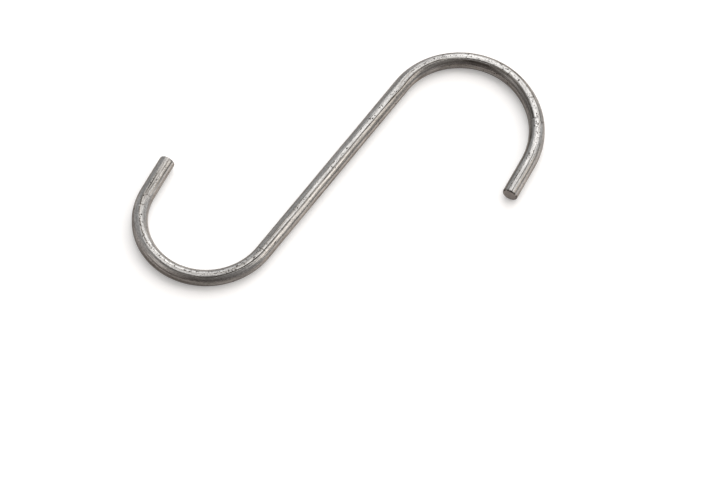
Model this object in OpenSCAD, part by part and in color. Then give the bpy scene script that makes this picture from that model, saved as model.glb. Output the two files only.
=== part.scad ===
// Open display hook, S-shaped, cold bent from one length of drawn steel wire.
// It lies flat on its side: +X runs along the shank, from the lower bend to the upper bend.
// The origin is the middle of its footprint, on the surface that it lies on.

/* [Wire] */
// Diameter of the wire
wire_d = 4; // [2:0.1:6]
// Rounding of the cropped edge at each tip
tip_edge_r = 0.45; // [0.1:0.05:0.9]

/* [Shank] */
// Straight length between the two bends
shank_length = 59.3; // [20:0.1:160]

/* [Lower bend] */
// Radius of the bend, to the middle of the wire
lower_r = 16.65; // [8:0.05:60]
// Angle that the wire turns through
lower_angle = 171; // [120:0.5:178]
// Straight length from the bend to the tip
lower_tip = 10.4; // [3:0.1:30]

/* [Upper bend] */
// Radius next to the shank, to the middle of the wire
upper_r = 18; // [8:0.05:60]
// Angle that the wire turns through at that radius
upper_angle = 104.5; // [60:0.5:120]
// Wider radius, where the bend eases off towards its tip
easing_r = 21.7; // [8:0.05:60]
// Angle that the wire turns through at the wider radius
easing_angle = 67.6; // [20:0.1:80]
// Straight length from the bend to the tip
upper_tip = 10.7; // [3:0.1:30]

/* [Hidden] */
$fn = 96;

wire_r = wire_d / 2;

// The straights and the bends meet at seams. This is how far each stops short of a seam, and
// how far the seam stands proud of the wire.
seam_gap = 0.05;
seam_swell = 0.005;

// An arm is a run of bends and a tip. It starts at the origin, heading along +X, and its
// bends turn to the right. Each bend is [radius, angle turned].
lower_bends = [[lower_r, lower_angle]];
upper_bends = [[upper_r, upper_angle], [easing_r, easing_angle]];

// A place along an arm, as numbers, is [x, y, angle turned so far].
function ahead(angle) = [cos(angle), -sin(angle)];
function outward(angle) = [sin(angle), cos(angle)];
function spot(place) = [place.x, place.y];
function centre(place, bend) = spot(place) - bend[0] * outward(place.z);
function bend_end(place, bend) = let (angle = place.z + bend[1])
    concat(centre(place, bend) + bend[0] * outward(angle), angle);

// The place where each bend of an arm starts, and last the place where its tip starts
function starts(bends) = [
    for (i = 0, place = [0, 0, 0]; i <= len(bends);
         place = i < len(bends) ? bend_end(place, bends[i]) : place, i = i + 1) place
];

// How far the wire reaches from the arm's origin, in the direction that a bend bulges to
// once it has turned through that angle
function bend_reach(place, bend, angle) = place.z <= angle && angle <= place.z + bend[1]
    ? centre(place, bend) * outward(angle) + bend[0] + wire_r
    : 0;
function tip_reach(place, length, angle) =
    (spot(place) + (length - tip_edge_r) * ahead(place.z)) * outward(angle)
    + (wire_r - tip_edge_r) * abs(cos(place.z - angle)) + tip_edge_r;
function arm_reach(bends, tip_length, angle) = let (places = starts(bends)) max(
    tip_reach(places[len(bends)], tip_length, angle),
    max([for (i = [0 : len(bends) - 1]) bend_reach(places[i], bends[i], angle)])
);

upper_reach = [for (angle = [0 : 90 : 270]) arm_reach(upper_bends, upper_tip, angle)];
lower_reach = [for (angle = [0 : 90 : 270]) arm_reach(lower_bends, lower_tip, angle)];

// The two arms point opposite ways, from the two ends of the shank.
high_x = max(shank_length + upper_reach[1], lower_reach[3]);
low_x = -max(lower_reach[1], upper_reach[3] - shank_length);
high_y = max(upper_reach[0], lower_reach[2]);
low_y = -max(upper_reach[2], lower_reach[0]);

module past_bend(bend) translate([0, -bend[0]]) rotate(-bend[1]) translate([0, bend[0]])
    children();

// Each stretch of wire stops a hair short of the seams at its ends.
module straight(length) translate([seam_gap, 0]) rotate([0, 90, 0])
    cylinder(d = wire_d, h = length - 2 * seam_gap);

module bent(bend) let (gap_angle = seam_gap / bend[0] * 180 / PI)
    translate([0, -bend[0]]) rotate(90 - bend[1] + gap_angle)
        rotate_extrude(angle = bend[1] - 2 * gap_angle)
            translate([bend[0], 0]) circle(d = wire_d);

// The wire is cropped square, with the edge of the cut dubbed over.
module tip(length) translate([seam_gap, 0]) rotate([0, 90, 0]) rotate_extrude()
    let (height = length - seam_gap) {
        square([wire_r, height - tip_edge_r]);
        square([wire_r - tip_edge_r, height]);
        translate([wire_r - tip_edge_r, height - tip_edge_r]) circle(r = tip_edge_r);
    }

// A ball fills the seam and joins the two stretches into one solid.
module seam() sphere(r = wire_r + seam_swell);

module arm(bends, tip_length, i = 0) {
    seam();
    if (i < len(bends)) {
        bent(bends[i]);
        past_bend(bends[i]) arm(bends, tip_length, i + 1);
    } else {
        tip(tip_length);
    }
}

module s_hook() color("silver")
    translate([-(low_x + high_x) / 2, -(low_y + high_y) / 2, wire_r + seam_swell]) {
        rotate(180) arm(lower_bends, lower_tip);
        straight(shank_length);
        translate([shank_length, 0]) arm(upper_bends, upper_tip);
    }

s_hook();
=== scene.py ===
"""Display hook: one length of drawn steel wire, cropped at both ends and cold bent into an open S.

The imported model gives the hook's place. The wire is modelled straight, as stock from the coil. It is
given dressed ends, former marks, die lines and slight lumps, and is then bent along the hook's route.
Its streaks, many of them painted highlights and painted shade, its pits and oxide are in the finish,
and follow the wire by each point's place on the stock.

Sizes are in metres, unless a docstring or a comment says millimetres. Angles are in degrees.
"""
import logging
import math
from dataclasses import dataclass, field
from enum import Enum
from typing import Callable

import bmesh
import bpy
from bpy.types import Material, Node, NodeSocket, NodeTree, Object
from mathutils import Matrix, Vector


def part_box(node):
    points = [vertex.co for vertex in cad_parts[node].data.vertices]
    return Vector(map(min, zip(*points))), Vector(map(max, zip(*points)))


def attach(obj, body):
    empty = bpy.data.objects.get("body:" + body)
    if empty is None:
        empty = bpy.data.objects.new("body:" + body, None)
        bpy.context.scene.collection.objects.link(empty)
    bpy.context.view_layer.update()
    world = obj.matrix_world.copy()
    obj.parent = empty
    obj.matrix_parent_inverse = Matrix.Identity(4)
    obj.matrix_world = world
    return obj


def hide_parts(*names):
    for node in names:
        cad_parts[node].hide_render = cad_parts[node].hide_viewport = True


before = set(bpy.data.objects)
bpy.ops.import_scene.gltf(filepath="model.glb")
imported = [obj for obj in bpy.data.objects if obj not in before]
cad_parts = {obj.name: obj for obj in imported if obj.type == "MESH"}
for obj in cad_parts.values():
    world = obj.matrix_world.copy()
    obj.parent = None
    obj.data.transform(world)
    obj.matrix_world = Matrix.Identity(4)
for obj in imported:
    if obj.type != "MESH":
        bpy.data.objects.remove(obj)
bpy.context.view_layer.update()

log = logging.getLogger("display_hook")

MM = 0.001
HAIR = 0.001 * MM
STOCK = "stock"
Colour = tuple[float, float, float]
WHITE: Colour = (1.0, 1.0, 1.0)


class Surface(Enum):
    """The two surfaces that a cropped wire has."""

    DRAWN = 0
    CROPPED = 1


# ---- Modelling helpers ----


def deselect_all() -> None:
    """Leaves object mode with nothing selected."""
    if bpy.context.object and bpy.context.object.mode != "OBJECT":
        bpy.ops.object.mode_set(mode="OBJECT")
    bpy.ops.object.select_all(action="DESELECT")


def activate(piece: Object) -> None:
    """Makes one piece the only selected object, and the active one.

    Args:
        piece: The object to work on.
    """
    deselect_all()
    piece.select_set(True)
    bpy.context.view_layer.objects.active = piece


def select_in(piece: Object, kind: str, chosen: Callable[[object], bool]) -> None:
    """Selects the elements of a piece in edit mode that a test picks by place or normal.

    Args:
        piece: The object in edit mode.
        kind: Which elements are picked: "VERT", "EDGE" or "FACE".
        chosen: The test, called with each BMesh element of that kind.
    """
    bpy.ops.mesh.select_all(action="DESELECT")
    bpy.ops.mesh.select_mode(type=kind)
    mesh = bmesh.from_edit_mesh(piece.data)
    elements = {"VERT": mesh.verts, "EDGE": mesh.edges, "FACE": mesh.faces}[kind]
    for element in elements:
        if chosen(element):
            element.select_set(True)
    mesh.select_flush_mode()
    bmesh.update_edit_mesh(piece.data)


def angle_round(point: Vector) -> float:
    """Gives the angle of a point round the straight wire, from its top towards +Y."""
    return math.degrees(math.atan2(point.y, point.z))


def angle_between(one: float, other: float) -> float:
    """Gives the smallest angle between two directions."""
    return abs((one - other + 180.0) % 360.0 - 180.0)


# ---- Route of the wire and the marks on it ----


@dataclass(frozen=True)
class Stretch:
    """A straight length of the route, or a bend where it has a radius.

    A bend turns to the right of travel by its angle, and to the left where that is negative.
    """

    length: float = 0.0
    radius: float = 0.0
    angle: float = 0.0

    @property
    def reach(self) -> float:
        """Length of the wire in this stretch."""
        return self.length if not self.radius else self.radius * math.radians(abs(self.angle))


@dataclass
class Route:
    """The middle line of the hook, from the lower tip to the upper tip."""

    lower_tip: Stretch = Stretch(length=10.4 * MM)
    lower_bend: Stretch = Stretch(radius=16.65 * MM, angle=-171.0)
    shank: Stretch = Stretch(length=59.3 * MM)
    upper_bend: Stretch = Stretch(radius=18.0 * MM, angle=104.5)
    easing: Stretch = Stretch(radius=21.7 * MM, angle=67.6)
    upper_tip: Stretch = Stretch(length=10.7 * MM)
    step: float = 0.25 * MM

    @property
    def stretches(self) -> list[Stretch]:
        """The stretches in the order of travel."""
        return [
            self.lower_tip, self.lower_bend, self.shank, self.upper_bend, self.easing, self.upper_tip,
        ]

    @property
    def length(self) -> float:
        """Length of the wire before it is bent."""
        return sum(stretch.reach for stretch in self.stretches)

    def walk(self) -> list[Vector]:
        """Walks the route with the shank along +X.

        Returns:
            Points along the middle line, in the plane of the hook.
        """
        heading = math.radians(self.lower_bend.angle)
        place = Vector((0.0, 0.0, 0.0))
        points = [place.copy()]
        for stretch in self.stretches:
            count = max(1, round(stretch.reach / self.step))
            if not stretch.radius:
                ahead = Vector((math.cos(heading), math.sin(heading), 0.0))
                points += [place + ahead * stretch.length * k / count for k in range(1, count + 1)]
            else:
                side = math.copysign(1.0, stretch.angle)
                inward = Vector((math.sin(heading), -math.cos(heading), 0.0)) * side
                middle = place + inward * stretch.radius
                for k in range(1, count + 1):
                    turned = heading - math.radians(stretch.angle) * k / count
                    outward = Vector((-math.sin(turned), math.cos(turned), 0.0)) * side
                    points.append(middle + outward * stretch.radius)
                heading -= math.radians(stretch.angle)
            place = points[-1]
        return points


@dataclass(frozen=True)
class DieLine:
    """A shallow groove that the drawing die leaves along the wire. Its depth is in millimetres."""

    angle: float
    depth: float


@dataclass(frozen=True)
class Streak:
    """A streak along the wire's skin, dark where its tone is below 0 and bright where it is above; many
    streaks are painted highlights and painted shade.

    Its start, end and fade are in millimetres.
    """

    angle: float
    half_width: float
    tone: float
    start: float
    end: float
    fade: float = 3.0


@dataclass(frozen=True)
class FormerMark:
    """A nick across the wire, with a burr beside it, where it was pressed on the bending former.

    It spans two angles. Its place and its sizes are in millimetres.
    """

    place: float
    low: float
    high: float
    depth: float = 0.06
    half_width: float = 0.12
    burr: float = 0.02
    tone: float = -0.6
    tone_spread: float = 0.8
    tone_fade: float = 0.05

    def shade(self) -> Streak:
        """Gives the dark line of oxide that gathers in the nick."""
        return Streak(
            angle=(self.low + self.high) / 2.0, half_width=self.tone_spread * (self.high - self.low),
            tone=self.tone, start=self.place - self.half_width, end=self.place + self.half_width,
            fade=self.tone_fade)


@dataclass(frozen=True)
class PitPatch:
    """A patch of the wire's skin, and the share of it that may hold pits.

    It spans two angles. Its start, end and fade are in millimetres.
    """

    start: float
    end: float
    low: float
    high: float
    amount: float
    fade: float = 2.0


@dataclass
class HookWire:
    """The hook: straight stock with its surface marks, dressed at both ends and bent to the route."""

    name: str = "hook_wire"
    node: str = "s_hook"
    radius: float = 2.0 * MM
    columns: int = 128
    ring_cuts: tuple[int, int] = (25, 24)
    tip_edge: float = 0.45 * MM
    tip_edge_steps: int = 5
    face_rings: int = 4
    face_ring_width: float = 0.3 * MM
    rim_reach: float = 0.36 * MM
    lump_size: tuple[float, float, float] = (6.0 * MM, 1.4 * MM, 1.4 * MM)
    lump_detail: int = 2
    lump_swell: float = 0.05 * MM
    route: Route = field(default_factory=Route)
    die_lines: tuple[DieLine, ...] = (
        DieLine(73, 0.016), DieLine(39, 0.016), DieLine(11, 0.014), DieLine(-20, 0.016),
        DieLine(-53, 0.014), DieLine(-84, 0.014), DieLine(-118, 0.018), DieLine(-149, 0.014),
        DieLine(171, 0.018), DieLine(141, 0.014), DieLine(107, 0.016),
    )
    # Millimetres along the wire, and how far it has turned about itself there
    twist: tuple[tuple[float, float], ...] = (
        (0, 4), (11, 0), (20, 7), (27, 10), (38, 0), (45, -4), (55, 4), (65, 1), (100, 0), (112, -5),
        (118, -8), (125, 0), (130, 3), (145, 0), (152, 4), (160, -2), (172, 2), (181, 7), (188.5, 4),
    )
    # Many of these streaks are painted highlights and painted shade: bright where the wire mirrors the
    # key light, dark where it mirrors the dark side of the room and along one flank. The rest are the
    # wire's own streaks.
    streaks: tuple[Streak, ...] = (
        # lower tip and the start of the lower bend
        Streak(39, 6, -0.62, -3, 11), Streak(54, 9, 1.1, -3, 13), Streak(14, 5, -0.42, -3, 14),
        Streak(71, 7, -0.35, -3, 16), Streak(5, 40, -0.26, -3, 18, 6), Streak(25, 5, 0.3, 2, 16),
        Streak(0, 4, -0.7, 4, 13), Streak(-7, 7, -0.85, 11, 19), Streak(-38, 20, 0.35, 10, 24),
        Streak(42, 12, 0.32, 12, 21),
        # lower bend
        # The first streak below is a painted highlight, the glint on the burr of the former mark at 15
        # mm.
        Streak(-12, 9, 1.2, 15.1, 15.6, 0.15), Streak(26, 12, -0.28, 17, 26),
        Streak(40, 10, -0.3, 20, 26), Streak(-1, 6, -0.85, 18, 29), Streak(-45, 26, 0.9, 21, 41),
        Streak(13, 6, 0.4, 22, 42), Streak(-31, 5, 0.4, 24, 34), Streak(31, 9, -0.28, 24, 60),
        Streak(20, 10, 0.35, 25, 34), Streak(-19, 6, -0.45, 25, 42), Streak(-81, 11, -0.45, 26, 42),
        Streak(-60, 10, 0.6, 27, 44), Streak(3, 5, -0.35, 28, 48), Streak(-9, 8, 0.45, 36, 49),
        Streak(-20, 6, -0.82, 40, 117), Streak(-80, 14, 0.6, 42.5, 52), Streak(-1, 9, -0.38, 45, 76),
        # shank
        Streak(15, 12, 0.55, 47, 60), Streak(-42, 8, 0.4, 50, 58), Streak(-20, 9, -0.45, 50, 60),
        Streak(-63, 7, 0.32, 54, 104, 6), Streak(-84, 14, -0.3, 56, 82),
        Streak(-31, 6, 0.3, 56, 100, 9), Streak(-43, 7, -0.4, 57, 66), Streak(-27, 5, -0.35, 60, 72),
        Streak(-52, 6, -0.4, 60, 116), Streak(20, 12, -0.3, 61, 71), Streak(8, 6, -0.45, 62, 92),
        Streak(-42, 7, -0.45, 74, 112, 8), Streak(-84, 16, -0.5, 78, 128),
        Streak(-38, 16, -0.3, 98, 150, 8), Streak(33, 14, -0.28, 110, 123),
        Streak(-24, 6, -0.8, 111, 126),
        # upper bend
        Streak(3, 12, -0.3, 116, 126), Streak(-52, 8, -0.45, 122, 136), Streak(-17, 8, -0.95, 122, 134),
        Streak(18, 10, 0.6, 123, 134), Streak(-63, 6, 0.45, 126, 132, 2), Streak(5, 8, 0.35, 128, 135),
        Streak(0, 15, 0.18, 130, 178), Streak(-20, 6, -0.55, 132, 168), Streak(-28, 7, -0.5, 126, 139),
        Streak(-76, 18, 0.5, 126.5, 131.5, 2), Streak(-72, 8, -0.35, 130, 140),
        Streak(29, 9, -0.55, 130, 168), Streak(-13, 6, 0.4, 135, 143), Streak(-37, 12, -0.6, 137, 147),
        Streak(-92, 14, 0.6, 137, 150), Streak(-53, 6, 0.3, 140, 168), Streak(-63, 7, 0.45, 144, 164),
        Streak(-27, 7, -0.65, 145, 168), Streak(-43, 8, 0.6, 148, 158),
        # easing and upper tip
        Streak(34, 12, -0.3, 149, 160), Streak(-82, 9, -0.5, 150, 163), Streak(-8, 7, 0.35, 152, 159),
        Streak(-9, 12, 0.65, 160, 169), Streak(-40, 12, -0.45, 158, 174), Streak(17, 7, -0.4, 163, 171),
        # The first streak below is a painted highlight, the glint on the burr of the former mark at
        # 165.5 mm.
        Streak(-20, 22, 1.0, 165.6, 165.95, 0.1), Streak(-18, 7, 0.8, 166, 178),
        Streak(68, 12, 0.5, 166, 178), Streak(52, 12, 0.55, 167, 192), Streak(-50, 12, -0.35, 168, 192),
        Streak(36, 7.5, -0.62, 170, 192), Streak(8, 4.5, -0.72, 173, 192),
        Streak(27, 5, -0.35, 175, 190), Streak(69, 5, -0.35, 174, 192), Streak(-22, 7, -0.45, 179, 192),
    )
    former_marks: tuple[FormerMark, ...] = (
        FormerMark(11.9, 10, 42, 0.08), FormerMark(15, -6, 30, 0.08),
        FormerMark(60, -44, 10, 0.05, tone=-0.4), FormerMark(150.3, -32, 20, 0.08),
        FormerMark(159.4, 2, 30), FormerMark(165.5, -40, 0, 0.1, burr=0.05),
    )
    pit_patches: tuple[PitPatch, ...] = (
        PitPatch(4, 16, -12, 0, 0.8), PitPatch(16, 31, -12, 4, 0.85), PitPatch(24, 48, 4, 20, 0.75),
        PitPatch(45, 62, -12, 24, 0.65), PitPatch(60, 104, -10, 14, 0.15),
        PitPatch(103, 112, -4, 14, 0.45), PitPatch(113.5, 119, -10, 6, 0.5, 1),
        PitPatch(119, 137, -4, 8, 0.9), PitPatch(136, 160, -12, 20, 0.45),
        PitPatch(158, 174, -10, 18, 0.55), PitPatch(172, 188, -28, -12, 0.9),
    )

    def build(self) -> Object:
        """Builds the hook from stock to finished piece.

        Returns:
            The finished hook, in its place in the frame.
        """
        piece = self.cut_stock()
        self.dress_tips(piece)
        self.ring(piece)
        self.press_marks(piece)
        self.draw_through_die(piece)
        self.roughen(piece)
        self.keep_stock_places(piece)
        self.bend(piece)
        self.smooth(piece)
        return piece

    def cut_stock(self) -> Object:
        """Cuts the wire to length, straight along +X from the origin.

        Returns:
            The new piece.
        """
        deselect_all()
        length = self.route.length
        bpy.ops.mesh.primitive_cylinder_add(
            vertices=self.columns, radius=self.radius, depth=length, end_fill_type="NGON",
            location=(length / 2.0, 0.0, 0.0), rotation=(0.0, math.pi / 2.0, 0.0))
        piece = bpy.context.object
        piece.name = piece.data.name = self.name
        bpy.ops.object.transform_apply(location=True, rotation=True, scale=True)
        return piece

    def dress_tips(self, piece: Object) -> None:
        """Rounds the cropped edge at both ends, and rings the end faces.

        Args:
            piece: The straight wire.
        """
        length = self.route.length
        close = 0.01 * MM
        square_on = 0.999

        def at_tip(edge: bmesh.types.BMEdge) -> bool:
            """Tells whether an edge lies on the rim of a cropped face."""
            ends = [vert.co.x for vert in edge.verts]
            return max(ends) < close or min(ends) > length - close

        activate(piece)
        bpy.ops.object.mode_set(mode="EDIT")
        select_in(piece, "EDGE", at_tip)
        bpy.ops.mesh.bevel(offset=self.tip_edge, segments=self.tip_edge_steps, profile=0.5)
        select_in(piece, "FACE", lambda face: abs(face.normal.x) > square_on)
        for _ in range(self.face_rings):
            bpy.ops.mesh.inset(thickness=self.face_ring_width)
        bpy.ops.mesh.poke()
        bpy.ops.object.mode_set(mode="OBJECT")

    def ring(self, piece: Object) -> None:
        """Cuts the long faces into rings, so that the wire can bend.

        Args:
            piece: The straight wire.
        """
        still_long = 1.0 * MM
        activate(piece)
        bpy.ops.object.mode_set(mode="EDIT")
        select_in(piece, "EDGE", lambda edge: edge.calc_length() > self.route.length / 2.0)
        for cuts in self.ring_cuts:
            bpy.ops.mesh.subdivide(number_cuts=cuts)
            select_in(piece, "EDGE", lambda edge: (
                abs(edge.verts[0].co.x - edge.verts[1].co.x) > still_long))
        bpy.ops.object.mode_set(mode="OBJECT")

    def press_marks(self, piece: Object) -> None:
        """Presses the former's marks across the wire.

        Args:
            piece: The straight wire.
        """
        activate(piece)
        bpy.ops.object.mode_set(mode="EDIT")
        for mark in self.former_marks:
            near, middle, far = ((mark.place + side * mark.half_width) * MM for side in (-1, 0, 1))
            for place in (near, middle, far):
                bpy.ops.mesh.select_all(action="SELECT")
                bpy.ops.mesh.bisect(
                    plane_co=(place, 0.0, 0.0), plane_no=(1.0, 0.0, 0.0), threshold=HAIR)
            for place, lift in ((middle, -mark.depth), (far, mark.burr)):
                select_in(piece, "VERT", lambda vert: (
                    abs(vert.co.x - place) < HAIR and mark.low <= angle_round(vert.co) <= mark.high))
                bpy.ops.transform.shrink_fatten(value=lift * MM)
        bpy.ops.object.mode_set(mode="OBJECT")

    def draw_through_die(self, piece: Object) -> None:
        """Presses the die's lines along the wire.

        Args:
            piece: The straight wire.
        """
        activate(piece)
        bpy.ops.object.mode_set(mode="EDIT")
        half_column = 180.0 / self.columns
        skin = 0.95 * self.radius
        for line in self.die_lines:
            select_in(piece, "VERT", lambda vert: (
                math.hypot(vert.co.y, vert.co.z) > skin
                and angle_between(angle_round(vert.co), line.angle) < half_column))
            bpy.ops.transform.shrink_fatten(value=-line.depth * MM)
        bpy.ops.object.mode_set(mode="OBJECT")

    def roughen(self, piece: Object) -> None:
        """Gives the wire the slight lumps of metal that was drawn and straightened.

        Args:
            piece: The straight wire.
        """
        lumps = bpy.data.textures.new("lumps", "CLOUDS")
        lumps.noise_scale = 1.0
        lumps.noise_depth = self.lump_detail
        measure = bpy.data.objects.new("lump_size", None)
        measure.scale = self.lump_size
        bpy.context.scene.collection.objects.link(measure)
        bpy.context.view_layer.update()
        activate(piece)
        modifier = piece.modifiers.new("lumps", "DISPLACE")
        modifier.texture = lumps
        modifier.texture_coords = "OBJECT"
        modifier.texture_coords_object = measure
        modifier.strength = self.lump_swell
        modifier.mid_level = 0.5
        bpy.ops.object.modifier_apply(modifier=modifier.name)
        bpy.data.objects.remove(measure)
        bpy.data.textures.remove(lumps)

    def keep_stock_places(self, piece: Object) -> None:
        """Keeps each point's place on the straight wire, for patterns that follow the wire.

        Args:
            piece: The straight wire.
        """
        places = piece.data.attributes.new(STOCK, "FLOAT_VECTOR", "POINT")
        values = [0.0] * (3 * len(piece.data.vertices))
        piece.data.vertices.foreach_get("co", values)
        places.data.foreach_set("vector", values)

    def bend(self, piece: Object) -> None:
        """Bends the straight wire to the hook's route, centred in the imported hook's box.

        Args:
            piece: The straight wire.
        """
        low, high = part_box(self.node)
        points = self.route.walk()
        middle = Vector([(min(axis) + max(axis)) / 2.0 for axis in zip(*points)])
        place = (low + high) / 2.0
        guide_data = bpy.data.curves.new("former", "CURVE")
        guide_data.dimensions = "3D"
        guide_data.twist_mode = "Z_UP"
        line = guide_data.splines.new("POLY")
        line.points.add(len(points) - 1)
        travelled = 0.0
        for slot, point, last in zip(line.points, points, points[:1] + points):
            travelled += (point - last).length
            slot.co = (*(point - middle + place), 1.0)
            slot.tilt = -math.radians(self.twist_at(travelled / MM))
        guide = bpy.data.objects.new("former", guide_data)
        bpy.context.scene.collection.objects.link(guide)
        activate(piece)
        modifier = piece.modifiers.new("bend", "CURVE")
        modifier.object = guide
        modifier.deform_axis = "POS_X"
        bpy.ops.object.modifier_apply(modifier=modifier.name)
        bpy.data.objects.remove(guide)
        bpy.data.curves.remove(guide_data)

    def twist_at(self, place: float) -> float:
        """Gives how far the wire has turned about itself at a place along it.

        Args:
            place: Millimetres from the lower tip.

        Returns:
            The turn, read smoothly between the stations of the twist.
        """
        for (start, low), (end, high) in zip(self.twist, self.twist[1:]):
            if place <= end:
                share = (place - start) / (end - start)
                return low + (high - low) * share * share * (3.0 - 2.0 * share)
        return self.twist[-1][1]

    def dress(self, piece: Object) -> None:
        """Gives the drawn skin and the cropped ends their finishes.

        Args:
            piece: The bent wire.
        """
        shades = tuple(mark.shade() for mark in self.former_marks)
        oxide = OxideFilm().group()
        skin = DrawnSteel().material(
            DrawingLines().group(), StreaksAndPaintedLight(self.streaks + shades).group(),
            Pitting(self.pit_patches).group(), oxide,
            TipRimDirtAndShade(self.route.length, self.rim_reach).group())
        for material in (skin, CroppedSteel().material(oxide)):
            piece.data.materials.append(material)
        places = piece.data.attributes[STOCK].data
        length = self.route.length
        close = 0.05 * MM
        for face in piece.data.polygons:
            along = [places[index].vector.x for index in face.vertices]
            cropped = max(along) < close or min(along) > length - close
            face.material_index = (Surface.CROPPED if cropped else Surface.DRAWN).value

    def smooth(self, piece: Object) -> None:
        """Turns the faces outwards and shades them smooth.

        Args:
            piece: The bent wire.
        """
        activate(piece)
        bpy.ops.object.mode_set(mode="EDIT")
        bpy.ops.mesh.select_all(action="SELECT")
        bpy.ops.mesh.normals_make_consistent(inside=False)
        bpy.ops.object.mode_set(mode="OBJECT")
        bpy.ops.object.shade_smooth()


# ---- Finishes ----


def fill(tree: NodeTree, node: Node, inputs: dict[str | int, object]) -> None:
    """Links or sets inputs of a node.

    Args:
        tree: The node tree of a material, a group or the world.
        node: The node.
        inputs: A socket or a constant for each input, by the input's name or index.
    """
    for label, value in inputs.items():
        if isinstance(value, NodeSocket):
            tree.links.new(value, node.inputs[label])
        else:
            node.inputs[label].default_value = value


def add_node(tree: NodeTree, kind: str, inputs: dict[str | int, object] | None = None,
             **settings: object) -> Node:
    """Adds a node to a tree and sets it up.

    Args:
        tree: The node tree.
        kind: The node's type.
        inputs: What to fill its inputs with.
        settings: Properties of the node, by name.

    Returns:
        The new node.
    """
    node = tree.nodes.new(kind)
    for name, value in settings.items():
        setattr(node, name, value)
    fill(tree, node, inputs or {})
    return node


def math_node(tree: NodeTree, operation: str, *values: object) -> NodeSocket:
    """Adds a Math node.

    Args:
        tree: The node tree.
        operation: The node's operation.
        values: A socket or a number for each input.

    Returns:
        The result's socket.
    """
    return add_node(tree, "ShaderNodeMath", dict(enumerate(values)), operation=operation).outputs[0]


def ramp_node(tree: NodeTree, value: NodeSocket, low: float, high: float,
              start: float = 0.0, end: float = 1.0) -> NodeSocket:
    """Adds a clamped Map Range node.

    Args:
        tree: The node tree.
        value: What is mapped.
        low: The value that maps to start.
        high: The value that maps to end.
        start: The result at low.
        end: The result at high.

    Returns:
        The result's socket.
    """
    inputs = {"Value": value, "From Min": low, "From Max": high, "To Min": start, "To Max": end}
    return add_node(tree, "ShaderNodeMapRange", inputs, clamp=True).outputs["Result"]


def mix_colour(tree: NodeTree, share: NodeSocket, first: object, second: object) -> NodeSocket:
    """Adds a Mix node for colours.

    Args:
        tree: The node tree.
        share: How much of the second colour shows.
        first: A colour, or a socket that gives one.
        second: A colour, or a socket that gives one.

    Returns:
        The mixed colour.
    """
    first, second = ((*end, 1.0) if isinstance(end, tuple) else end for end in (first, second))
    inputs = {"Factor": share, "A": first, "B": second}
    return add_node(tree, "ShaderNodeMix", inputs, data_type="RGBA").outputs["Result"]


def stock_places(tree: NodeTree) -> NodeSocket:
    """Adds the node that reads each point's place on the straight wire."""
    return add_node(tree, "ShaderNodeAttribute", attribute_name=STOCK).outputs["Vector"]


@dataclass(frozen=True)
class Grain:
    """Noise that is stretched along the straight wire.

    Its sizes along and across the wire are in millimetres, and tall stretches it upwards. The shift
    moves it along the wire, so that no two match. As a mask it is empty up to low, and full from
    high.
    """

    along: float
    across: float
    detail: float = 3.0
    shift: float = 0.0
    low: float = 0.0
    high: float = 1.0
    tall: float = 1.0

    def noise(self, tree: NodeTree, places: NodeSocket) -> Node:
        """Adds the noise.

        Args:
            tree: The node tree.
            places: Places on the straight wire, in metres.

        Returns:
            The Noise Texture node.
        """
        sizes = (self.along * MM, self.across * MM, self.tall * self.across * MM)
        mapping = add_node(tree, "ShaderNodeMapping", {
            "Vector": places, "Location": (self.shift, 0.0, 0.0),
            "Scale": [1.0 / size for size in sizes]})
        return add_node(tree, "ShaderNodeTexNoise", {
            "Vector": mapping.outputs["Vector"], "Scale": 1.0, "Detail": self.detail})

    def value(self, tree: NodeTree, places: NodeSocket) -> NodeSocket:
        """Adds the noise and gives its value."""
        return self.noise(tree, places).outputs["Fac"]

    def mask(self, tree: NodeTree, places: NodeSocket, empty: float = 0.0,
             full: float = 1.0) -> NodeSocket:
        """Adds the noise as a clamped mask.

        Args:
            tree: The node tree.
            places: Places on the straight wire, in metres.
            empty: The mask where the noise is low.
            full: The mask where the noise is high.

        Returns:
            The mask's socket.
        """
        return ramp_node(tree, self.value(tree, places), self.low, self.high, empty, full)


def start_group(name: str) -> tuple[NodeTree, NodeSocket]:
    """Starts a shader node group that is fed with places on the straight wire.

    Args:
        name: The group's name.

    Returns:
        The group, and the socket of the places in it.
    """
    group = bpy.data.node_groups.new(name, "ShaderNodeTree")
    group.interface.new_socket("Places", in_out="INPUT", socket_type="NodeSocketVector")
    return group, add_node(group, "NodeGroupInput").outputs["Places"]


def end_group(group: NodeTree, **results: NodeSocket) -> NodeTree:
    """Gives a node group its outputs.

    Args:
        group: The node group.
        results: What each output gives, by the output's name.

    Returns:
        The same group.
    """
    for label in results:
        group.interface.new_socket(label, in_out="OUTPUT", socket_type="NodeSocketFloat")
    add_node(group, "NodeGroupOutput", results)
    return group


def place_groups(tree: NodeTree, places: NodeSocket, *groups: NodeTree) -> dict[str, NodeSocket]:
    """Places node groups in a material.

    Args:
        tree: The material's node tree.
        places: Places on the straight wire.
        groups: The groups.

    Returns:
        The outputs of all the groups, by name.
    """
    nodes = [add_node(tree, "ShaderNodeGroup", {"Places": places}, node_tree=group) for group in groups]
    return {output.name: output for node in nodes for output in node.outputs}


def along_and_round(group: NodeTree, places: NodeSocket) -> tuple[NodeSocket, NodeSocket]:
    """Splits places on the straight wire into their two measures.

    Args:
        group: The node group.
        places: Places on the straight wire.

    Returns:
        Metres along the wire, and degrees round it from its top towards +Y.
    """
    split = add_node(group, "ShaderNodeSeparateXYZ", {0: places})
    turn = math_node(group, "ARCTAN2", split.outputs["Y"], split.outputs["Z"])
    return split.outputs["X"], math_node(group, "DEGREES", turn)


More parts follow.
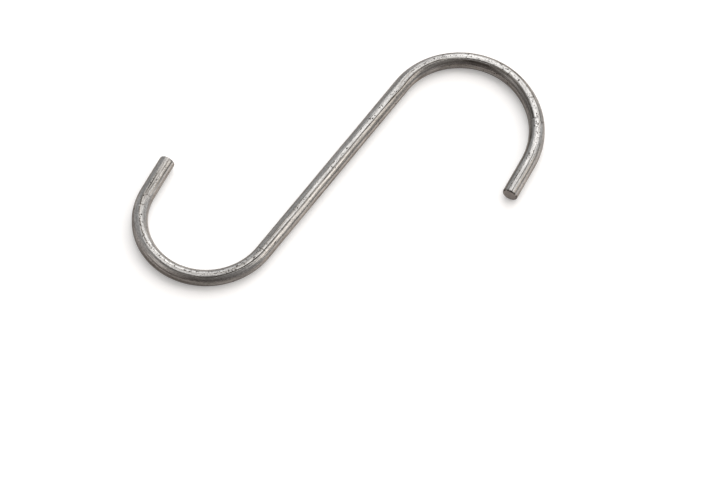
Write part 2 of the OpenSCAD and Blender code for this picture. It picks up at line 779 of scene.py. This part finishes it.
def spell(group: NodeTree, along: NodeSocket, part: Streak | PitPatch, level: float) -> NodeSocket:
    """Adds a level that holds from a part's start to its end, with soft ends.

    Args:
        group: The node group.
        along: Metres along the wire.
        part: A streak or a patch, with a start, an end and a fade.
        level: The level between the ends.

    Returns:
        The level's socket.
    """
    enter = ramp_node(group, along, part.start * MM, (part.start + part.fade) * MM, 0.0, level)
    leave = ramp_node(group, along, (part.end - part.fade) * MM, part.end * MM, 1.0, 0.0)
    return math_node(group, "MULTIPLY", enter, leave)


def hump(group: NodeTree, turn: NodeSocket, angle: float, half_width: float) -> NodeSocket:
    """Adds a soft hump across the wire, 1 at its angle and 0 past its half width.

    Args:
        group: The node group.
        turn: Degrees round the wire.
        angle: The hump's angle.
        half_width: Half the hump's width.

    Returns:
        The hump's socket.
    """
    off = math_node(group, "ABSOLUTE", math_node(group, "SUBTRACT", turn, angle))
    inputs = {"Value": off, "From Min": half_width, "From Max": 0.0}
    band = add_node(group, "ShaderNodeMapRange", inputs, clamp=True, interpolation_type="SMOOTHSTEP")
    return band.outputs["Result"]


@dataclass(frozen=True)
class DrawingLines:
    """The fine lines and the broad bands that a die draws along a wire."""

    broad: Grain = Grain(30.0, 0.55, 2.0, 3.1)
    fine: Grain = Grain(14.0, 0.20)
    hairs: Grain = Grain(5.0, 0.07, 2.0, 7.7)
    scratches: Grain = Grain(9.0, 0.16, 2.0, 31.3, 0.42, 0.66)
    bands: Grain = Grain(40.0, 0.35, 3.0, 12.3, 0.32, 0.68)
    broad_share: float = 1.6
    hair_share: float = 0.25

    def group(self) -> NodeTree:
        """Builds the node group.

        Returns:
            The group. Height is the relief. Line and Band run from 0 to 1, Line in fine lines.
        """
        group, places = start_group("drawing_lines")
        grains = (self.broad, self.fine, self.hairs)
        broad, fine, hairs = (grain.value(group, places) for grain in grains)
        height = math_node(group, "MULTIPLY_ADD", hairs, self.hair_share, fine)
        height = math_node(group, "MULTIPLY_ADD", broad, self.broad_share, height)
        return end_group(group, Height=height, Line=self.scratches.mask(group, places),
                         Band=self.bands.mask(group, places))


@dataclass(frozen=True)
class StreaksAndPaintedLight:
    """Dark and bright streaks, which waver a little and break up: partly the wire's own streaks, partly
    painted highlights and painted shade.
    """

    streaks: tuple[Streak, ...]
    waver: Grain = Grain(16.0, 6.0, 2.0, 21.0, 0.3, 0.7)
    waver_angle: float = 2.0
    breaks: Grain = Grain(5.0, 0.5, 3.0, 4.4, 0.30, 0.60)
    broken: float = 0.60
    whole: float = 1.20

    def group(self) -> NodeTree:
        """Builds the node group.

        Returns:
            The group. Tone is 0 on plain skin, less in dark streaks and painted shade, and more in
            bright streaks and painted highlights.
        """
        group, places = start_group("streaks")
        along, turn = along_and_round(group, places)
        waver = self.waver.mask(group, places, -self.waver_angle, self.waver_angle)
        turn = math_node(group, "ADD", turn, waver)
        tone = 0.0
        for streak in self.streaks:
            band = hump(group, turn, streak.angle, streak.half_width)
            level = spell(group, along, streak, streak.tone)
            tone = math_node(group, "MULTIPLY_ADD", level, band, tone)
        breaks = self.breaks.mask(group, places, self.broken, self.whole)
        return end_group(group, Tone=math_node(group, "MULTIPLY", tone, breaks))


@dataclass(frozen=True)
class Pitting:
    """Small uneven pits, sparse over the wire and crowded in patches.

    The pits lie in cells, one at most in each. The shove makes their outlines uneven. A pit's reach
    and the softness of its edge are shares of its cell.
    """

    patches: tuple[PitPatch, ...]
    sparse: float = 0.04
    crowding: Grain = Grain(2.2, 0.9, 2.0, 5.5, 0.28, 0.50)
    unevenness: Grain = Grain(0.16, 0.16, 2.0)
    shove: tuple[float, float, float] = (0.26 * MM, 0.22 * MM, 0.22 * MM)
    fine_cell: float = 0.30 * MM
    coarse_cell: float = 0.48 * MM
    coarse_share: float = 0.5
    cell_stretch: float = 1.25
    least_reach: float = 0.20
    most_reach: float = 0.56
    edge: tuple[float, float] = (-0.04, 0.14)

    def group(self) -> NodeTree:
        """Builds the node group.

        Returns:
            The group. Pit is 1 inside a pit and 0 on the sound skin.
        """
        group, places = start_group("pitting")
        along, turn = along_and_round(group, places)
        amount = self.sparse
        for patch in self.patches:
            band = hump(group, turn, (patch.low + patch.high) / 2.0, patch.high - patch.low)
            level = spell(group, along, patch, patch.amount)
            amount = math_node(group, "MULTIPLY_ADD", level, band, amount)
        amount = math_node(group, "MULTIPLY", amount, self.crowding.mask(group, places))
        noise = self.unevenness.noise(group, places).outputs["Color"]
        shoved = add_node(group, "ShaderNodeVectorMath", {0: noise, 1: self.shove, 2: places},
                          operation="MULTIPLY_ADD").outputs["Vector"]
        few = math_node(group, "MULTIPLY", amount, self.coarse_share)
        fine = self.layer(group, shoved, amount, self.fine_cell)
        coarse = self.layer(group, shoved, few, self.coarse_cell)
        return end_group(group, Pit=math_node(group, "MAXIMUM", fine, coarse))

    def layer(self, group: NodeTree, places: NodeSocket, amount: NodeSocket,
              size: float) -> NodeSocket:
        """Adds one layer of pits.

        Args:
            group: The node group.
            places: Places on the straight wire, already shoved.
            amount: The share of the cells that hold a pit.
            size: Size of a cell across the wire.

        Returns:
            1 inside a pit and 0 on the sound skin.
        """
        sizes = (self.cell_stretch * size, size, size)
        mapping = add_node(group, "ShaderNodeMapping", {
            "Vector": places, "Scale": [1.0 / side for side in sizes]})
        cells = add_node(group, "ShaderNodeTexVoronoi", {
            "Vector": mapping.outputs["Vector"], "Scale": 1.0})
        chance = add_node(group, "ShaderNodeSeparateColor", {0: cells.outputs["Color"]})
        kept = math_node(group, "LESS_THAN", chance.outputs[0], amount)
        reach = ramp_node(group, chance.outputs[1], 0.0, 1.0, self.least_reach, self.most_reach)
        depth = math_node(group, "SUBTRACT", reach, cells.outputs["Distance"])
        return math_node(group, "MULTIPLY", ramp_node(group, depth, *self.edge), kept)


@dataclass(frozen=True)
class OxideFilm:
    """The uneven film of oxide and handling on bare steel."""

    clouds: Grain = Grain(6.0, 1.1, 5.0, 1.9, 0.34, 0.66)
    stains: Grain = Grain(2.6, 0.8, 4.0, 8.4, 0.60, 0.74)

    def group(self) -> NodeTree:
        """Builds the node group.

        Returns:
            The group. Film goes from 0, bright, to 1, dull. Blotch marks small paler stains.
        """
        group, places = start_group("oxide_film")
        return end_group(group, Film=self.clouds.mask(group, places),
                         Blotch=self.stains.mask(group, places))


@dataclass(frozen=True)
class TipRimDirtAndShade:
    """The dark, torn rim round each end of a cropped wire: partly dirt on the torn edge, partly painted
    shade of its rounded edge.

    The tear and the fade are shares of the rim's reach up the wire.
    """

    length: float
    reach: float
    tears: Grain = Grain(2.0, 1.1, 2.0, 3.3, 0.45, 0.60)
    tear: float = 1.2
    fade: float = 0.3

    def group(self) -> NodeTree:
        """Builds the node group.

        Returns:
            The group. Rim goes from 1 at the ends to 0 past its reach.
        """
        group, places = start_group("tip_rim_dirt_and_shade")
        along, _ = along_and_round(group, places)
        torn = self.tears.mask(group, places, 0.0, self.tear * self.reach)
        nearest = math_node(group, "MINIMUM", along, math_node(group, "SUBTRACT", self.length, along))
        off = math_node(group, "ADD", torn, nearest)
        rim = ramp_node(group, off, self.reach, (1.0 + self.fade) * self.reach, 1.0, 0.0)
        return end_group(group, Rim=rim)


def start_material(name: str) -> tuple[Material, Node]:
    """Starts a material.

    Args:
        name: The material's name.

    Returns:
        The material and its shader.
    """
    material = bpy.data.materials.new(name)
    material.use_nodes = True
    return material, material.node_tree.nodes["Principled BSDF"]


def raised(tree: NodeTree, relief: NodeSocket) -> NodeSocket:
    """Adds the normal of a relief, whose height is in metres."""
    inputs = {"Strength": 1.0, "Distance": 1.0, "Height": relief}
    return add_node(tree, "ShaderNodeBump", inputs).outputs["Normal"]


@dataclass(frozen=True)
class DrawnSteel:
    """Bare drawn steel wire, with die lines, pits and a thin uneven film of oxide.

    Its shares and dullnesses say how much each pattern changes the skin's colour and gloss. The streaks
    and the tip rims also paint highlights and shade into its colour.
    """

    name: str = "drawn_steel"
    bright: Colour = (0.345, 0.341, 0.336)
    dull: Colour = (0.265, 0.261, 0.256)
    stain: Colour = (0.38, 0.375, 0.365)
    pit: Colour = (0.062, 0.056, 0.052)
    grazed: Colour = (0.60, 0.59, 0.58)
    # Warm tint of the dark streaks: rust, and painted warm shade where a streak is painted shade.
    rust_and_shade_tint: Colour = (1.05, 0.98, 0.90)
    band_share: float = 0.25
    stain_share: float = 0.5
    rust_and_shade_share: float = 1.5
    plain: float = 1.05
    line_shade: float = 0.28
    speckle: float = 0.26
    specks: Grain = Grain(0.48, 0.22, 2.0, 13.1, 0.3, 0.7)
    rim_dirt_and_shade: float = 0.55
    smooth: float = 0.18
    rough: float = 0.30
    band_dullness: float = 0.4
    film_dullness: float = 0.6
    pit_roughness: float = 0.3
    line_relief: float = 0.024 * MM
    grain_relief: float = 0.018 * MM
    grain: Grain = Grain(0.45, 0.22, 2.0, 9.1)
    pit_relief: float = 0.020 * MM

    def material(self, *groups: NodeTree) -> Material:
        """Makes the material.

        Args:
            groups: The groups of the drawing lines, the streaks with their painted highlights and
                shade, the pits, the oxide film, and the tip rims' dirt and painted shade.

        Returns:
            The new material.
        """
        material, shader = start_material(self.name)
        tree = material.node_tree
        places = stock_places(tree)
        patterns = place_groups(tree, places, *groups)

        skin = self.skin(tree, patterns)
        level = self.level(tree, places, patterns)
        toned = add_node(tree, "ShaderNodeVectorMath", {0: skin, "Scale": level}, operation="SCALE")

        dullness = math_node(tree, "MULTIPLY", patterns["Film"], self.film_dullness)
        dullness = math_node(tree, "MULTIPLY_ADD", patterns["Band"], self.band_dullness, dullness)
        roughness = ramp_node(tree, dullness, 0.0, 1.0, self.smooth, self.rough)
        roughness = math_node(tree, "MULTIPLY_ADD", patterns["Pit"], self.pit_roughness, roughness)

        grain = self.grain.value(tree, places)
        relief = math_node(tree, "MULTIPLY", patterns["Height"], self.line_relief)
        relief = math_node(tree, "MULTIPLY_ADD", grain, self.grain_relief, relief)
        relief = math_node(tree, "MULTIPLY_ADD", patterns["Pit"], -self.pit_relief, relief)
        fill(tree, shader, {
            "Metallic": 1.0, "Specular Tint": (*self.grazed, 1.0), "Roughness": roughness,
            "Base Color": mix_colour(tree, patterns["Pit"], toned.outputs["Vector"], self.pit),
            "Normal": raised(tree, relief)})
        return material

    def skin(self, tree: NodeTree, patterns: dict[str, NodeSocket]) -> NodeSocket:
        """Mixes the skin's colour, warmer where a streak is dark: rust in the wire's own dark streaks,
        painted warm shade in the painted ones.

        Args:
            tree: The material's node tree.
            patterns: The outputs of the node groups.

        Returns:
            The colour.
        """
        banded = math_node(tree, "MULTIPLY", patterns["Band"], self.band_share)
        stained = math_node(tree, "MULTIPLY", patterns["Blotch"], self.stain_share)
        rust_and_shade = math_node(tree, "MULTIPLY", patterns["Tone"], -self.rust_and_shade_share)
        skin = mix_colour(tree, patterns["Film"], self.bright, self.dull)
        skin = mix_colour(tree, banded, skin, self.dull)
        skin = mix_colour(tree, stained, skin, self.stain)
        inputs = {0: skin, 1: mix_colour(tree, rust_and_shade, WHITE, self.rust_and_shade_tint)}
        return add_node(tree, "ShaderNodeVectorMath", inputs, operation="MULTIPLY").outputs["Vector"]

    def level(self, tree: NodeTree, places: NodeSocket, patterns: dict[str, NodeSocket]) -> NodeSocket:
        """Works out how bright the skin is, against its colour, with the painted highlights and shade
        of the streaks and the painted shade at the tip rims.

        Args:
            tree: The material's node tree.
            places: Places on the straight wire.
            patterns: The outputs of the node groups.

        Returns:
            The level, about 1 on plain skin.
        """
        level = math_node(tree, "ADD", patterns["Tone"], self.plain)
        level = math_node(tree, "MULTIPLY_ADD", patterns["Line"], -self.line_shade, level)
        specks = self.specks.mask(tree, places, 1.0 - self.speckle, 1.0 + self.speckle)
        level = math_node(tree, "MULTIPLY", level, specks)
        # Darker towards the tips' rims: partly dirt on the torn edge, partly painted shade of the
        # rounded edge.
        dirt_and_shade = ramp_node(tree, patterns["Rim"], 0.0, 1.0, 1.0, self.rim_dirt_and_shade)
        return math_node(tree, "MULTIPLY", level, dirt_and_shade)


@dataclass(frozen=True)
class CroppedSteel:
    """The dull sheared face at each end of the wire."""

    name: str = "cropped_steel"
    torn: Colour = (0.285, 0.272, 0.267)
    burnished: Colour = (0.42, 0.40, 0.39)
    roughness: float = 0.46
    film_share: float = 0.5
    drag: Grain = Grain(0.3, 0.16, tall=10.0)
    drag_share: float = 0.6
    drag_relief: float = 0.012 * MM
    grain: Grain = Grain(0.15, 0.15, 3.0, 2.2)
    grain_share: float = 0.5

    def material(self, oxide: NodeTree) -> Material:
        """Makes the material.

        Args:
            oxide: The group of the oxide film.

        Returns:
            The new material.
        """
        material, shader = start_material(self.name)
        tree = material.node_tree
        places = stock_places(tree)
        film = place_groups(tree, places, oxide)["Film"]
        drag = self.drag.value(tree, places)
        grain = self.grain.value(tree, places)
        share = math_node(tree, "MULTIPLY", drag, self.drag_share)
        share = math_node(tree, "MULTIPLY_ADD", film, self.film_share, share)
        relief = math_node(tree, "MULTIPLY_ADD", grain, self.grain_share, drag)
        fill(tree, shader, {
            "Metallic": 1.0, "Roughness": self.roughness,
            "Base Color": mix_colour(tree, share, self.torn, self.burnished),
            "Normal": raised(tree, math_node(tree, "MULTIPLY", relief, self.drag_relief))})
        return material


# ---- Stage, light and camera ----


def on_sphere(azimuth: float, elevation: float, distance: float) -> Vector:
    """Gives a point by its direction from the origin.

    Args:
        azimuth: The angle from +X towards +Y.
        elevation: The angle above the floor.
        distance: Metres from the origin.

    Returns:
        The point.
    """
    turn = math.radians(azimuth)
    rise = math.radians(elevation)
    level = math.cos(rise)
    return Vector((math.cos(turn) * level, math.sin(turn) * level, math.sin(rise))) * distance


@dataclass(frozen=True)
class SoftLight:
    """A soft box that faces the hook."""

    name: str
    azimuth: float
    elevation: float
    width: float
    height: float
    level: float
    colour: Colour = WHITE
    distance: float = 1.2

    def build(self) -> None:
        """Hangs the light."""
        lamp = bpy.data.lights.new(self.name, "AREA")
        lamp.shape = "RECTANGLE"
        lamp.size = self.width
        lamp.size_y = self.height
        # The power grows with the area, so that a larger box is as bright as a smaller one.
        lamp.energy = self.level * math.pi * self.width * self.height
        lamp.color = self.colour
        light = bpy.data.objects.new(self.name, lamp)
        light.location = on_sphere(self.azimuth, self.elevation, self.distance)
        light.rotation_euler = light.location.to_track_quat("Z", "Y").to_euler()
        bpy.context.scene.collection.objects.link(light)


def show_camera(tree: NodeTree, seen: Node, mirrored: Node, end: Node) -> None:
    """Shows one shader to the camera, and another to the light that goes round the scene.

    Args:
        tree: The node tree of a material or the world.
        seen: The shader that the camera sees.
        mirrored: The shader that lights and mirrors use.
        end: The output node.
    """
    path = add_node(tree, "ShaderNodeLightPath")
    blend = add_node(tree, "ShaderNodeMixShader", {
        0: path.outputs["Is Camera Ray"], 1: mirrored.outputs[0], 2: seen.outputs[0]})
    fill(tree, end, {"Surface": blend.outputs[0]})


@dataclass
class Studio:
    """Pale floor, soft lights and camera. The steel mirrors a duller floor than the camera sees."""

    floor_span: float = 3.0
    floor_seen: float = 0.81
    floor_glow: float = 0.28
    floor_mirrored: Colour = (0.72, 0.67, 0.635)
    floor_sheen: Colour = (1.0, 0.96, 0.93)
    floor_sheen_share: float = 0.5
    floor_gloss: float = 0.30
    fill_azimuth: float = 5.0
    fill_far: float = 0.12
    fill_near: float = 1.15
    fill_tint: Colour = (1.0, 0.87, 0.79)
    fill_tint_end: float = 0.2
    camera_azimuth: float = 215.19
    camera_elevation: float = 60.0
    camera_distance: float = 0.7
    # The lens and the sensor are in millimetres.
    camera_lens: float = 143.05
    camera_sensor: float = 36.0
    camera_near: float = 0.01
    camera_far: float = 20.0
    look_at: tuple[float, float, float] = (-12.83 * MM, -13.96 * MM, 0.0)
    lights: tuple[SoftLight, ...] = (
        SoftLight("key_light", 14.0, 50.0, 1.05, 1.75, 1.85, (1.0, 0.975, 0.955)),
        SoftLight("right_light", -60.0, 36.0, 0.60, 0.70, 2.00, (1.0, 0.91, 0.82)),
        SoftLight("left_light", 145.0, 42.0, 0.50, 0.80, 0.30, (1.0, 0.95, 0.90)),
    )

    def build(self) -> None:
        """Builds the floor, the lights, the world and the camera."""
        self.lay_floor()
        for light in self.lights:
            light.build()
        self.light_world()
        self.place_camera()

    def lay_floor(self) -> None:
        """Lays a plain white floor that keeps a soft shadow."""
        deselect_all()
        bpy.ops.mesh.primitive_plane_add(size=self.floor_span)
        floor = bpy.context.object
        floor.name = "floor"
        material, paper = start_material("floor_paper")
        tree = material.node_tree
        fill(tree, paper, {
            "Base Color": (self.floor_seen,) * 3 + (1.0,), "Roughness": 1.0, "Specular IOR Level": 0.0,
            "Emission Color": (*WHITE, 1.0), "Emission Strength": self.floor_glow})
        board = add_node(tree, "ShaderNodeBsdfDiffuse", {"Color": (*self.floor_mirrored, 1.0)})
        sheen = add_node(tree, "ShaderNodeBsdfGlossy", {
            "Color": (*self.floor_sheen, 1.0), "Roughness": self.floor_gloss})
        mirrored = add_node(tree, "ShaderNodeMixShader", {
            0: self.floor_sheen_share, 1: board.outputs[0], 2: sheen.outputs[0]})
        show_camera(tree, paper, mirrored, tree.nodes["Material Output"])
        floor.data.materials.append(material)

    def light_world(self) -> None:
        """Fills in the light, more from one side, and shows the camera white past the floor."""
        world = bpy.data.worlds.new("studio")
        bpy.context.scene.world = world
        world.use_nodes = True
        tree = world.node_tree
        sky = add_node(tree, "ShaderNodeTexCoord").outputs["Generated"]
        near_side = on_sphere(self.fill_azimuth, 0.0, 1.0)
        toward = add_node(tree, "ShaderNodeVectorMath", {0: sky, 1: near_side},
                          operation="DOT_PRODUCT").outputs["Value"]
        side = ramp_node(tree, toward, -1.0, self.fill_tint_end)
        light = tree.nodes["Background"]
        fill(tree, light, {
            "Color": mix_colour(tree, side, self.fill_tint, WHITE),
            "Strength": ramp_node(tree, toward, -1.0, 1.0, self.fill_far, self.fill_near)})
        white = add_node(tree, "ShaderNodeBackground", {"Color": (*WHITE, 1.0)})
        show_camera(tree, white, light, tree.nodes["World Output"])

    def place_camera(self) -> None:
        """Places the camera and makes it the scene's own."""
        lens = bpy.data.cameras.new("camera")
        lens.lens = self.camera_lens
        lens.sensor_width = self.camera_sensor
        lens.clip_start = self.camera_near
        lens.clip_end = self.camera_far
        camera = bpy.data.objects.new("camera", lens)
        target = Vector(self.look_at)
        sight = on_sphere(self.camera_azimuth, self.camera_elevation, self.camera_distance)
        camera.location = target + sight
        camera.rotation_euler = sight.to_track_quat("Z", "Y").to_euler()
        bpy.context.scene.collection.objects.link(camera)
        bpy.context.scene.camera = camera
        bpy.context.scene.view_settings.view_transform = "Standard"


def main() -> None:
    """Builds the hook, the studio and the camera, and reports each piece."""
    logging.basicConfig(level=logging.INFO, format="%(message)s")
    Studio().build()
    log.info("studio: floor, lights and camera")
    hook = HookWire()
    piece = hook.build()
    hook.dress(piece)
    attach(piece, "root")
    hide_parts(hook.node)
    triangles = sum(len(face.vertices) - 2 for face in piece.data.polygons)
    log.info("%s: %d triangles, %.1f mm of wire", hook.name, triangles, hook.route.length / MM)


if __name__ == "__main__":
    main()
